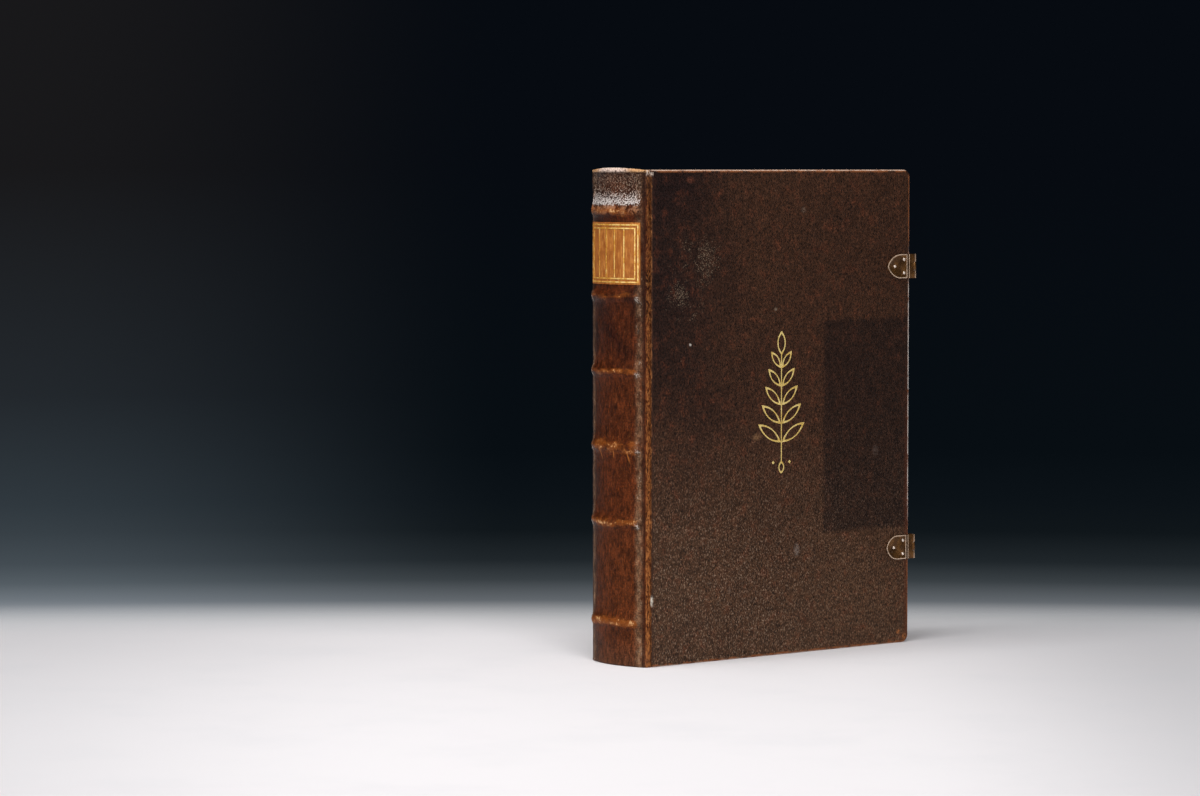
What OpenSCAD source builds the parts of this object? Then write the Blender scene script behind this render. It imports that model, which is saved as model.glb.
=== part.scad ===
// Antique book in full leather: raised bands on a rounded spine, gilt tooling and two hinged brass clasps.
// It stands on its tail. X runs from the spine to the fore-edge, the front cover faces -Y and Z is up.
// The origin is the centre of the base.

/* [Book] */
// Height of the covers
cover_h = 340; // [300:1:400]
// Width of a cover from its joint to the fore-edge
cover_w = 240; // [200:1:280]
// Thickness of the closed book over both covers
book_t = 60; // [52:1:72]
// Overhang of the covers past the leaves at head, tail and fore-edge
square = 4; // [3:0.5:6]
// Depth of the hollow in the fore-edge
fore_hollow = 8; // [4:0.5:12]

/* [Covers] */
// Thickness of the pasteboards
board_t = 4; // [3:0.5:6]
// Thickness of the leather
leather_t = 1; // [0.8:0.1:1.4]
// Radius of the leather along the edges of a cover
edge_r = 1.5; // [1.4:0.1:2.2]
// Radius of the corners of a cover seen from the front
corner_r = 5.5; // [3:0.5:9]
// Width of the leather turned in on the inside
turn_in = 16; // [10:1:24]
// Distance from the joint to the pasteboard
board_back = 1.5; // [1:0.1:3]
// Size of the nick in the covers at both ends of the joint
joint_nick = 1.6; // [0.8:0.2:3]
// Clearance between a cover and the rest of the book
cover_gap = 0.3; // [0.2:0.05:0.6]

/* [Spine] */
// Radius of the rounded spine seen from above
spine_r = 65; // [55:1:90]
// Radius of the shoulders where the spine meets the covers
shoulder_r = 4; // [3.5:0.5:6]
// Rise of the shoulders over the rounded spine
ridge_h = 0.3; // [0.2:0.05:0.5]
// Width of the flat between a shoulder and its joint
shoulder_flat = 2.5; // [1.5:0.5:5]
// Thickness of the linen lining under the leather
lining_t = 0.8; // [0.4:0.1:1.2]
// Thickness of the paste under the spine leather and its label
paste_t = 0.05; // [0.03:0.01:0.1]
// Rise of the raised bands
band_h = 1.8; // [1.2:0.1:2.4]
// Width of the raised bands across their ridge
band_w = 10; // [8:1:14]
// Width of the soft slopes on both sides of a band
band_skirt = 2.6; // [1:0.2:2.8]
// Diameter of the cords under the bands
cord_d = 5; // [3.5:0.5:6]
// Rise of the cords over the lining
cord_h = 1.4; // [0.8:0.1:1.6]
// Height of the panel below the lowest band
tail_panel = 30; // [22:1:40]
// Height from the lowest band to the second
low_panel = 69; // [50:1:80]
// Height from the top band to the one below, where the label is
label_panel = 58; // [52:1:70]
// Height of the panel above the top band
head_panel = 28; // [22:1:40]

/* [Head and tail] */
// Depth of the leather caps over the endbands
cap_w = 5; // [4:0.5:8]
// Rise of the head cap over the covers
cap_rise = 1.5; // [0.5:0.25:2.5]
// Thickness of the tail cap
cap_t = 0.9; // [0.6:0.1:1.2]
// Diameter of the endbands
endband_d = 2.6; // [1.8:0.1:2.6]

/* [Gilding] */
// Height of the label
label_h = 42.4; // [36:0.2:44]
// Thickness of the label
label_t = 0.5; // [0.3:0.1:0.8]
// Distance from the joint to the middle of the cover ornament
spray_x = 117.5; // [80:0.5:150]
// Height of the middle of the cover ornament
spray_z = 177.5; // [120:0.5:200]
// Height of the cover ornament
spray_h = 100; // [80:1:120]
// Distance between the gilt frames of the label
frame_gap = 2.4; // [1.8:0.2:3]
// Width of a gilt line
gilt_w = 0.9; // [0.7:0.1:1.4]
// Depth of the tooling in the leather
gilt_t = 0.25; // [0.2:0.05:0.4]

/* [Clasps] */
// Height of the middle of the upper clasp
upper_z = 271; // [230:1:280]
// Height of the middle of the lower clasp
lower_z = 69; // [50:1:100]
// Width of the clasp plates
plate_w = 17.2; // [14:0.2:20]
// Thickness of the clasp plates
plate_t = 1; // [0.8:0.1:1.4]
// Length of a plate from the edge of the cover to its point
plate_l = 22.6; // [20:0.2:26]
// Length of the pointed arch of the upper plates
upper_arch = 12.6; // [10:0.2:15]
// Length of the rounder arch of the lower plates
lower_arch = 10.3; // [9:0.2:14]
// Distance from the edge of the cover to the middle of the knuckles
barrel_out = 4.4; // [4:0.1:6]
// Distance of the middle of the knuckles behind the face of the cover
barrel_in = 0.2; // [0:0.1:0.6]
// Radius of the knuckles
barrel_r = 1.4; // [1.2:0.1:1.8]
// Radius of the hinge pins
pin_r = 0.6; // [0.5:0.05:0.8]
// Clearance round the hinge pins
pin_gap = 0.05; // [0.03:0.01:0.1]
// Gap between neighbouring knuckles
knuckle_gap = 0.5; // [0.3:0.1:0.8]
// Radius of the bars that the hooks catch on
bar_r = 1; // [0.8:0.1:1.2]
// Thickness of the clasp arms
arm_t = 1.2; // [0.9:0.1:1.6]
// Depth of the waist on each side of an arm
arm_waist = 3; // [1:0.5:4]
// Clearance between a hook and its bar
hook_gap = 0.4; // [0.3:0.05:0.6]
// Angle by which the clasps stand open
clasp_ajar = 5; // [4:1:12]
// Width of the raised rim of the plates
rim_w = 0.7; // [0.5:0.1:1]
// Rise of the rim and ribs
rim_h = 0.35; // [0.2:0.05:0.5]
// Diameter of the rivet heads
rivet_d = 2.3; // [1.8:0.1:2.8]
// Diameter of the rivet shanks
shank_d = 1.2; // [0.8:0.1:1.4]
// Length of the rivet shanks in the cover
shank_l = 3; // [2:0.5:4]

/* [Hidden] */
$fn = 64;
cover_t = board_t + 2 * leather_t;
half_t = book_t / 2;
joint_x = cover_gap / 2;

// The spine from above: one wide arc, and a shoulder arc on each side that ends square at the joint.
spine_y = half_t - cover_gap;
shoulder_x = -shoulder_flat;
shoulder_y = spine_y - shoulder_r;
flat_y = spine_y - cover_gap / 3;
shoulder_out = spine_r + ridge_h - shoulder_r;
spine_a = asin(shoulder_y / shoulder_out);
spine_x = shoulder_x + shoulder_out * cos(spine_a);
panel_margin = 0.3;
panel_a = spine_a - asin(sqrt(2 * shoulder_r * ridge_h) / spine_r) - panel_margin;
cap_skim = 0.05;

// The bands: three even panels are left between the second band and the fifth.
even_panel = (cover_h - tail_panel - low_panel - label_panel - head_panel) / 3;
band_z = [
    tail_panel,
    tail_panel + low_panel,
    tail_panel + low_panel + even_panel,
    tail_panel + low_panel + 2 * even_panel,
    cover_h - head_panel - label_panel,
    cover_h - head_panel
];
label_z = (band_z[4] + band_z[5]) / 2;
skin_t = leather_t + paste_t;
cord_in = cord_d / 2 - cord_h;
band_steps = 20;
fillets = 4;

// The leaves
leaf_y = half_t - cover_t - cover_gap;
fore_x = cover_w - square;
fore_r = (leaf_y * leaf_y + fore_hollow * fore_hollow) / (2 * fore_hollow);

// The clasps: distances along an arm are taken from its hinge.
barrel_x = cover_w + barrel_out;
knuckle_l = (plate_w - 2 * knuckle_gap) / 3;
arm_in = barrel_r - arm_t;
bar_x = barrel_x + arm_in - hook_gap - bar_r;
bar_reach = book_t - 2 * barrel_in;
lip_in = max(bar_reach + bar_r, bar_reach + barrel_in + plate_t + rim_h) + hook_gap;
lip_l = barrel_x + barrel_r - bar_x + bar_r;
arm_start = barrel_r + hook_gap;
rib_in = [3.8, 1.6];
rivet_in = 6.4;
rivet_side = 4.8;
tip_rivet_in = 7.3;
arm_rib_in = [1.2, 3];
waist_in = 4;

// The origin: the middle of everything in X and Y, with the clasps ajar.
arm_len = lip_in + arm_t;
reach_x = barrel_x + arm_len * sin(clasp_ajar) + barrel_r * cos(clasp_ajar);
low_x = spine_x - spine_r - band_h;
low_y = -half_t - plate_t - rivet_d / 3;
high_y = max(barrel_in - half_t + arm_len * cos(clasp_ajar) + (lip_l - barrel_r) * sin(clasp_ajar), -low_y);
origin = [(low_x + reach_x) / 2, (low_y + high_y) / 2, 0];

leather_brown = "#3a2219";
spine_brown = "#5c3220";
paper = "#d9c7a3";
gold = "#c9a24a";
brass = "#8a6a35";

// Rise of the leather at a height, from the nearest band: a narrow ridge on a wide soft slope.
function swell(d, w) = abs(d) < w ? pow(1 - d * d / (w * w), 2) : 0;
function band_rise(d) = band_h * (0.6 * swell(d, band_w / 2) + 0.4 * swell(d, band_w / 2 + band_skirt));

// Points up the outside of the spine, over each band in turn.
function spine_points(radius) = [
    for (b = band_z, i = [0 : band_steps])
        let (d = (band_w / 2 + band_skirt) * (2 * i / band_steps - 1))
            [radius + band_rise(d), b + d]
];

function arc_points(centre, radius, from, to) = [
    for (i = [0 : 8])
        let (a = from + (to - from) * i / 8)
            [centre[0] + radius * cos(a), centre[1] + radius * sin(a)]
];

// A profile along the radius, turned to both sides of the middle of the spine.
module spine_turn(angle) {
    translate([spine_x, 0, 0])
        rotate([0, 0, 180 - angle])
            rotate_extrude(angle = 2 * angle, $fn = 180)
                children();
}

// The spine from above, set in from the outside of the leather and cut off at the joints.
module spine_outline(inset) {
    far = 2 * spine_r;
    intersection() {
        union() {
            intersection() {
                translate([spine_x, 0])
                    circle(spine_r - inset, $fn = 180);
                polygon([
                    [spine_x, 0],
                    [spine_x - far * cos(spine_a), far * sin(spine_a)],
                    [spine_x - far * cos(spine_a), -far * sin(spine_a)]
                ]);
            }
            for (side = [-1, 1])
                translate([shoulder_x, side * shoulder_y])
                    circle(shoulder_r - inset);
            translate([shoulder_x, inset - flat_y])
                square([shoulder_flat, 2 * (flat_y - inset)]);
        }
        translate([-spine_r - joint_x, -half_t])
            square([spine_r, book_t]);
    }
}

// The wide arc with the tail cap, the bands and the head cap in one profile. The head cap falls a
// little towards the shoulders, so its top is cut by a wide cylinder lying along X.
module spine_arc() {
    nose = spine_r - cap_w;
    top = cap_t + cap_rise;
    cap_z = cover_h + cap_rise - top / 2;
    fall_r = spine_y * spine_y / (2 * cap_rise);
    intersection() {
        spine_turn(spine_a)
            polygon(concat(
                [[nose, 0], [spine_r - cap_t, 0], [spine_r, cap_t]],
                spine_points(spine_r),
                arc_points([spine_r - top / 2, cap_z], top / 2, 0, 90),
                arc_points([nose + top / 2, cap_z], top / 2, 90, 180)
            ));
        translate([low_x - 1, 0, cover_h + cap_rise - cap_skim - fall_r])
            rotate([0, 90, 0])
                cylinder(h = spine_r, r = fall_r, $fn = 720);
    }
}

// A shoulder and the flat beside the joint, from above. The bands end against it.
module shoulder_outline() {
    intersection() {
        union() {
            translate([shoulder_x, shoulder_y])
                circle(shoulder_r);
            translate([shoulder_x - 1, shoulder_y])
                square([shoulder_flat + 1, flat_y - shoulder_y]);
        }
        translate([-spine_r - joint_x, 0])
            square([spine_r, book_t]);
    }
}

module spine_leather() color(spine_brown) translate(-origin)
    difference() {
        union() {
            spine_arc();
            linear_extrude(cover_h) {
                shoulder_outline();
                mirror([0, 1])
                    shoulder_outline();
            }
        }
        translate([0, 0, cap_t])
            linear_extrude(cover_h - 2 * cap_t) {
                spine_outline(leather_t);
                translate([shoulder_x, leather_t - flat_y])
                    square([spine_r, 2 * (flat_y - leather_t)]);
            }
        for (z = band_z)
            translate([0, 0, z])
                spine_turn(panel_a)
                    translate([spine_r - skin_t - cord_in, 0])
                        circle(cord_d / 2 + paste_t, $fn = 48);
    }

// A cord over the lining, flat where it is glued down.
module cord_ring() {
    spine_turn(panel_a)
        intersection() {
            translate([spine_r - skin_t - cord_in, 0])
                circle(cord_d / 2, $fn = 48);
            translate([spine_r - skin_t, -cord_d])
                square(2 * cord_d);
        }
}

module spine_label() color("#b5763e") translate(-origin)
    label_patch(0, paste_t, label_t);

// A patch on the panel between the two highest bands, set in by a margin all round.
module label_patch(margin, from, thick) {
    height = label_h - 2 * margin;
    spine_turn(panel_a - margin * 180 / (PI * spine_r))
        translate([spine_r + from, label_z - height / 2])
            square([thick, height]);
}

module label_frame(margin) {
    difference() {
        label_patch(margin, paste_t + label_t, gilt_t);
        label_patch(margin + gilt_w, 0, 2 * label_t);
    }
}

// Two gilt frames on the label, and plain upright fillets inside them.
module label_gilding() color(gold) translate(-origin) {
    line_a = gilt_w * 180 / (PI * spine_r);
    line_h = label_h - 4 * frame_gap;
    label_frame(frame_gap / 2);
    label_frame(1.5 * frame_gap);
    for (i = [0 : fillets - 1])
        rotate_about_spine((i - (fillets - 1) / 2) * 4 / 3 * panel_a / fillets)
            spine_turn(line_a / 2)
                translate([spine_r + paste_t + label_t, label_z - line_h / 2])
                    square([gilt_t, line_h]);
}

module rotate_about_spine(angle) {
    translate([spine_x, 0, 0])
        rotate(angle)
            translate([-spine_x, 0, 0])
                children();
}

module text_block() color(paper) translate(-origin) translate([0, 0, square])
    linear_extrude(cover_h - 2 * square) {
        spine_outline(skin_t + lining_t);
        difference() {
            translate([-shoulder_flat, -leaf_y])
                square([fore_x + shoulder_flat, 2 * leaf_y]);
            translate([fore_x - fore_hollow + fore_r, 0])
                circle(fore_r, $fn = 128);
        }
    }

module spine_lining() color("#c8b99a") translate(-origin) translate([0, 0, square])
    linear_extrude(cover_h - 2 * square)
        difference() {
            spine_outline(skin_t);
            spine_outline(skin_t + lining_t);
        }

module band_cord(i) color("#b49a6c") translate(-origin)
    translate([0, 0, band_z[i - 1]])
        cord_ring();

// An endband: a core wound with silk, flat where it rests on the leaves.
module endband() {
    spine_turn(panel_a)
        intersection() {
            translate([spine_r - skin_t - lining_t - endband_d / 2, endband_d / 4])
                circle(endband_d / 2);
            translate([spine_r - cap_w, 0])
                square(2 * endband_d);
        }
}

module head_band() color("#a8463a") translate(-origin)
    translate([0, 0, cover_h - square])
        endband();

module tail_band() color("#a8463a") translate(-origin)
    translate([0, 0, square])
        mirror([0, 0, 1])
            endband();

// A section across the edge of a cover: length inwards along X, thickness along Y, set in all round.
module edge_section(length, inset) {
    r = edge_r - inset;
    translate([0, inset])
        square([length - inset - r, cover_t - 2 * inset]);
    translate([0, inset + r])
        square([length - inset, cover_t - 2 * inset - 2 * r]);
    for (y = [inset + r, cover_t - inset - r])
        translate([length - inset - r, y])
            circle(r);
}

// A whole cover with rounded edges and corners, its outside on Y = 0 and its joint edge at X = start.
module cover_form(inset, start) {
    difference() {
        union() {
            translate([0, 0, corner_r])
                linear_extrude(cover_h - 2 * corner_r)
                    edge_section(cover_w, inset);
            for (end = [0, 1])
                translate([0, 0, end * cover_h])
                    mirror([0, 0, end]) {
                        translate([0, 0, corner_r])
                            rotate([90, 90, 90])
                                linear_extrude(cover_w - corner_r)
                                    edge_section(corner_r, inset);
                        translate([cover_w - corner_r, cover_t, corner_r])
                            rotate([90, 0, 0])
                                rotate([0, 0, -90])
                                    rotate_extrude(angle = 90)
                                        edge_section(corner_r, inset);
                    }
        }
        translate([-1, -1, -1])
            cube([start + 1, cover_t + 2, cover_h + 2]);
    }
}

module place_front() {
    translate(-origin)
        translate([0, -half_t, 0])
            children();
}

module place_back() {
    translate(-origin)
        mirror([0, 1, 0])
            translate([0, -half_t, 0])
                children();
}

module board_form() {
    difference() {
        cover_form(leather_t, board_back);
        rivet_holes();
    }
}

// Leather drawn over the board and turned in, open on the inside where the endpaper is pasted.
module cover_leather() {
    difference() {
        cover_form(0, joint_x);
        cover_form(leather_t, board_back);
        pastedown_form();
        for (end = [0, 1])
            translate([joint_x, -1, end * cover_h])
                rotate([0, 45, 0])
                    translate([-joint_nick / sqrt(2), 0, -joint_nick / sqrt(2)])
                        cube([joint_nick * sqrt(2), cover_t + 2, joint_nick * sqrt(2)]);
        rivet_holes();
    }
}

module pastedown_form() {
    translate([board_back, cover_t - leather_t, turn_in])
        cube([cover_w - turn_in - board_back, leather_t, cover_h - 2 * turn_in]);
}

module rivet_holes() {
    each_rivet(upper_z, upper_arch)
        rivet_shank();
    each_rivet(lower_z, lower_arch)
        rivet_shank();
}

module front_board() color("#9c8660") place_front() board_form();
module back_board() color("#9c8660") place_back() board_form();
module front_pastedown() color(paper) place_front() pastedown_form();
module back_pastedown() color(paper) place_back() pastedown_form();

module front_leather() color(leather_brown) place_front()
    difference() {
        cover_leather();
        spray(2 * gilt_t);
    }

module back_leather() color(leather_brown) place_back() cover_leather();

module cover_gilding() color(gold) place_front()
    intersection() {
        spray(2 * gilt_t);
        cube([cover_w, gilt_t, cover_h]);
    }

// A leaf drawn in outline from the crossing of two circles, with its base at the origin.
module leaf(length, width) {
    r = (length * length + width * width) / (4 * width);
    intersection() {
        translate([r - width / 2, length / 2])
            circle(r);
        translate([width / 2 - r, length / 2])
            circle(r);
    }
}

module line_leaf(length, width) {
    difference() {
        leaf(length, width);
        translate([0, gilt_w * length / width])
            leaf(length - 2 * gilt_w * length / width, width - 2 * gilt_w);
    }
}

// The cover ornament: a slender spray of outlined leaves on a stem, tooled into the face of the cover.
// Its leaves get shorter, narrower and steeper from pair to pair.
module spray(depth) {
    unit = spray_h / 100;
    stem_low = 8 * unit;
    stem_top = spray_h - 16 * unit;
    leaf_pairs = 5;
    leaf_low = 22 * unit;
    leaf_pitch = 13 * unit;
    leaf_l = 25 * unit;
    leaf_w = 7.6 * unit;
    leaf_turn = 58;
    translate([spray_x, depth / 2, spray_z - spray_h / 2])
        rotate([90, 0, 0])
            linear_extrude(depth) {
                translate([-gilt_w / 2, stem_low])
                    square([gilt_w, stem_top - stem_low]);
                translate([0, stem_top - gilt_w])
                    line_leaf(spray_h - stem_top + gilt_w, leaf_w);
                for (i = [0 : leaf_pairs - 1], side = [-1, 1])
                    translate([side * gilt_w * 0.4, leaf_low + i * leaf_pitch])
                        rotate(-side * (leaf_turn - 5 * i))
                            line_leaf(leaf_l * (1 - 0.1 * i), leaf_w * (1 - 0.07 * i));
                for (side = [-1, 1])
                    translate([side * leaf_w, stem_low])
                        rotate(side * 45)
                            square(2 * gilt_w, center = true);
                line_leaf(stem_low + gilt_w, 0.7 * leaf_w);
            }
}

// The outline of a clasp plate: straight sides, then an arch from two circles that meet in a point.
module plate_outline(arch, inset) {
    half = plate_w / 2;
    r = (arch * arch + half * half) / (2 * half);
    base = cover_w - plate_l + arch;
    intersection() {
        translate([base, half - r])
            circle(r - inset);
        translate([base, r - half])
            circle(r - inset);
        translate([base - 2 * arch, -plate_w])
            square([2 * arch, 2 * plate_w]);
    }
    translate([base - 0.01, inset - half])
        square([barrel_x - base + 0.01, plate_w - 2 * inset]);
}

// A plate lying on the cover, with a raised rim round its arch and two ribs along the cover's edge.
module plate(z, arch) {
    translate([0, 0, z]) {
        rotate([90, 0, 0])
            linear_extrude(plate_t)
                plate_outline(arch, 0);
        rotate([90, 0, 0])
            linear_extrude(plate_t + rim_h)
                difference() {
                    plate_outline(arch, 0);
                    plate_outline(arch, rim_w);
                    translate([cover_w - rib_in[0], -plate_w])
                        square([2 * plate_l, 2 * plate_w]);
                }
        for (in = rib_in)
            translate([cover_w - in, -plate_t, -plate_w / 2])
                cylinder(h = plate_w, r = rim_h, $fn = 24);
    }
}

module each_rivet(z, arch) {
    pair_x = cover_w - rivet_in;
    for (p = [[pair_x, rivet_side], [pair_x, -rivet_side], [cover_w - plate_l + tip_rivet_in, 0]])
        translate([p[0], 0, z + p[1]])
            rotate([-90, 0, 0])
                children();
}

module rivet_shank() {
    translate([0, 0, -plate_t - 1])
        cylinder(h = shank_l + plate_t + 1, d = shank_d, $fn = 24);
}

// Domed rivets: the heads rest on the plate and the shanks end inside the board.
module rivets(z, arch) {
    dome_h = rivet_d / 3;
    dome_r = (rivet_d * rivet_d / 4 + dome_h * dome_h) / (2 * dome_h);
    each_rivet(z, arch) {
        translate([0, 0, -plate_t - dome_h / 2])
            cylinder(h = shank_l + plate_t + dome_h / 2, d = shank_d, $fn = 24);
        intersection() {
            translate([0, 0, dome_r - dome_h - plate_t])
                sphere(dome_r, $fn = 32);
            translate([0, 0, -plate_t - dome_h])
                cylinder(h = dome_h, d = 2 * rivet_d);
        }
    }
}

// The front plates carry the outer knuckles, and leave room for the arm's knuckle between them.
module hinge_plate(z, arch) {
    difference() {
        union() {
            plate(z, arch);
            translate([barrel_x, barrel_in, z - plate_w / 2])
                cylinder(h = plate_w, r = barrel_r);
        }
        each_rivet(z, arch)
            rivet_shank();
        translate([barrel_x, barrel_in, z - plate_w])
            cylinder(h = 2 * plate_w, r = pin_r + pin_gap, $fn = 32);
        translate([barrel_x - arm_start, -cover_t, z - knuckle_l / 2 - knuckle_gap])
            cube([2 * arm_start, 2 * cover_t, knuckle_l + 2 * knuckle_gap]);
    }
}

module hinge_pin(z) {
    translate([barrel_x, barrel_in, z - plate_w / 2])
        cylinder(h = plate_w, r = pin_r, $fn = 32);
}

// The back plates end in a plain bar for the hook.
module catch_plate(z, arch) {
    difference() {
        union() {
            intersection() {
                plate(z, arch);
                translate([0, -cover_t, 0])
                    cube([bar_x, 2 * cover_t, cover_h]);
            }
            translate([bar_x, barrel_in, z - plate_w / 2])
                cylinder(h = plate_w, r = bar_r);
        }
        each_rivet(z, arch)
            rivet_shank();
    }
}

// A clasp arm seen from its hinge: it runs along Y with its outer face level with the knuckle,
// and a square lip at its end hooks behind the bar.
module arm() {
    waist_l = lip_in - arm_start - 2 * waist_in;
    waist_r = (waist_l * waist_l / 4 + arm_waist * arm_waist) / (2 * arm_waist);
    difference() {
        union() {
            translate([0, 0, -knuckle_l / 2])
                cylinder(h = knuckle_l, r = barrel_r);
            translate([arm_in, 0, -knuckle_l / 2])
                cube([arm_t, arm_start + 1, knuckle_l]);
            translate([arm_in, arm_start, -plate_w / 2])
                cube([arm_t, lip_in - arm_start, plate_w]);
            translate([barrel_r - lip_l, lip_in, -plate_w / 2])
                cube([lip_l - arm_t, arm_t, plate_w]);
            translate([arm_in, lip_in, -plate_w / 2])
                cylinder(h = plate_w, r = arm_t);
            for (in = arm_rib_in, y = [arm_start + in, lip_in - in])
                translate([barrel_r, y, -plate_w / 2])
                    cylinder(h = plate_w, r = rim_h, $fn = 24);
        }
        translate([0, 0, -plate_w])
            cylinder(h = 2 * plate_w, r = pin_r + pin_gap, $fn = 32);
        for (side = [-1, 1])
            translate([-barrel_r, (arm_start + lip_in) / 2, side * (plate_w / 2 - arm_waist + waist_r)])
                rotate([0, 90, 0])
                    cylinder(h = 4 * barrel_r, r = waist_r, $fn = 128);
        translate([arm_in - lip_l, lip_in - lip_l, -plate_w])
            cube([lip_l, lip_l, 2 * plate_w]);
    }
}

module clasp(z) {
    translate([barrel_x, barrel_in, z])
        rotate([0, 0, -clasp_ajar])
            arm();
}

module upper_hinge_plate() color(brass) place_front() hinge_plate(upper_z, upper_arch);
module lower_hinge_plate() color(brass) place_front() hinge_plate(lower_z, lower_arch);
module upper_hinge_rivets() color("#cdb98f") place_front() rivets(upper_z, upper_arch);
module lower_hinge_rivets() color("#cdb98f") place_front() rivets(lower_z, lower_arch);
module upper_hinge_pin() color(brass) place_front() hinge_pin(upper_z);
module lower_hinge_pin() color(brass) place_front() hinge_pin(lower_z);
module upper_catch_plate() color(brass) place_back() catch_plate(upper_z, upper_arch);
module lower_catch_plate() color(brass) place_back() catch_plate(lower_z, lower_arch);
module upper_catch_rivets() color("#cdb98f") place_back() rivets(upper_z, upper_arch);
module lower_catch_rivets() color("#cdb98f") place_back() rivets(lower_z, lower_arch);
module upper_clasp() color(brass) place_front() clasp(upper_z);
module lower_clasp() color(brass) place_front() clasp(lower_z);

text_block();
spine_lining();
for (i = [1 : len(band_z)])
    band_cord(i);
head_band();
tail_band();
spine_leather();
spine_label();
label_gilding();
front_board();
front_leather();
front_pastedown();
cover_gilding();
upper_hinge_plate();
lower_hinge_plate();
upper_hinge_rivets();
lower_hinge_rivets();
upper_hinge_pin();
lower_hinge_pin();
back_board();
back_leather();
back_pastedown();
upper_catch_plate();
lower_catch_plate();
upper_catch_rivets();
lower_catch_rivets();
upper_clasp();
lower_clasp();
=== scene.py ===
import math

import bmesh
import bpy
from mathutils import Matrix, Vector, noise


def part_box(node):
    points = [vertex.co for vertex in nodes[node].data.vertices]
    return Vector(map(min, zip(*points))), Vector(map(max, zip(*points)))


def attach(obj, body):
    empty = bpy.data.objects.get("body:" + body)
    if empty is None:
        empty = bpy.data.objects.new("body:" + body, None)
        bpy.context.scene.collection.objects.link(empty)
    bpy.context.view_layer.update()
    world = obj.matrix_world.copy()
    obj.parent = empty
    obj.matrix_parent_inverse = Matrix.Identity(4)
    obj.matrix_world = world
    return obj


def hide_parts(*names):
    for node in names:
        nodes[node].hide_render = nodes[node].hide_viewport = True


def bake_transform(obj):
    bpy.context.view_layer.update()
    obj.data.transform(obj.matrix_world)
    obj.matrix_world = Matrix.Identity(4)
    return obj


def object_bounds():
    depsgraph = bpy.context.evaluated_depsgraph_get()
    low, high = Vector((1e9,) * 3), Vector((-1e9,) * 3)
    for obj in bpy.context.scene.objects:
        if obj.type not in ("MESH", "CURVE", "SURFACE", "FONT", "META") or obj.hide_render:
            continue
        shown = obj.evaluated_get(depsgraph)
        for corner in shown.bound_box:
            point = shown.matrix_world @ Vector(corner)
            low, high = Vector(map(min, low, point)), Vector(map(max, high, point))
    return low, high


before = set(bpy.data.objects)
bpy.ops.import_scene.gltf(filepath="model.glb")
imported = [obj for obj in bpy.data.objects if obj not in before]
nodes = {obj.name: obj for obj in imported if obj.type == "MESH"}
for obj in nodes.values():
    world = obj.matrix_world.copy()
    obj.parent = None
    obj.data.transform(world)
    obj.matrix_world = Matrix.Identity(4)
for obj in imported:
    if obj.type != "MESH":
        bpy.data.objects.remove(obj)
cadLow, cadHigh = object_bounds()

# where the book stands: the covers give the joint line and the plane halfway between them
frontLow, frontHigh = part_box("front_leather")
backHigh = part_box("back_leather")[1]
jointX = frontLow.x - 0.00015
middleY = (frontLow.y + backHigh.y) / 2
coverInner = 0.024  # from the middle to the inside of a cover
foreX = frontHigh.x
bookHeight = frontHigh.z
print("book frame read")


def linear(value):
    return value / 12.92 if value <= 0.04045 else ((value + 0.055) / 1.055) ** 2.4


def paint(code):  # a web colour as Blender's linear RGBA
    return tuple(linear(int(code[i:i + 2], 16) / 255) for i in (1, 3, 5)) + (1.0,)


def fillInputs(node, inputs):
    for key, value in inputs.items():
        if isinstance(value, bpy.types.NodeSocket):
            node.id_data.links.new(value, node.inputs[key])
        else:
            node.inputs[key].default_value = value


def addNode(tree, kind, inputs=None, **settings):
    node = tree.nodes.new(kind)
    for name, value in settings.items():
        setattr(node, name, value)
    fillInputs(node, inputs or {})
    return node


def nodeFor(kind, inputs, **settings):  # a node in the tree that its linked inputs come from
    tree = next(value.id_data for value in inputs.values() if isinstance(value, bpy.types.NodeSocket))
    return addNode(tree, kind, inputs, **settings)


def calc(operation, first, second=0.0, third=0.0, clamp=False):
    inputs = {0: first, 1: second, 2: third}
    return nodeFor("ShaderNodeMath", inputs, operation=operation, use_clamp=clamp).outputs[0]


def minus(first, second, clamp=False):
    return calc("SUBTRACT", first, second, clamp=clamp)


def scaleAdd(value, factor, added, clamp=False):
    return calc("MULTIPLY_ADD", value, factor, added, clamp)


def larger(first, second):
    return calc("MAXIMUM", first, second)


def smaller(first, second):
    return calc("MINIMUM", first, second)


def apart(first, second):
    return calc("ABSOLUTE", minus(first, second))


def times(first, *others):
    for other in others:
        first = calc("MULTIPLY", first, other)
    return first


def fade(value, start, end):  # 0 at start, 1 at end, soft in between
    ends = {"Value": value, "From Min": start, "From Max": end}
    return nodeFor("ShaderNodeMapRange", ends, interpolation_type="SMOOTHSTEP").outputs[0]


def within(value, start, full, wane, end):  # 0 before start, 1 from full to wane, 0 after end
    return times(fade(value, start, full), fade(value, end, wane))


def remap(value, start, end, low, high):
    ends = {"Value": value, "From Min": start, "From Max": end, "To Min": low, "To Max": high}
    return nodeFor("ShaderNodeMapRange", ends).outputs[0]


def mixColor(factor, under, over, mode="MIX"):
    return nodeFor("ShaderNodeMix", {0: factor, 6: under, 7: over}, data_type="RGBA", blend_type=mode).outputs[2]


def coat(color, share, code):
    return mixColor(share, color, paint(code))


def toned(color, value, start, end, low, high):  # darker where the value is low, lighter where it is high
    return mixColor(1.0, color, remap(value, start, end, low, high), "MULTIPLY")


def noiseAt(coords, density, detail, rough):
    wanted = {"Vector": coords, "Scale": density, "Detail": detail, "Roughness": rough}
    return nodeFor("ShaderNodeTexNoise", wanted).outputs[0]


def cloud(coords, size, detail=3.0, rough=0.55):
    return noiseAt(coords, 1 / size, detail, rough)


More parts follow.
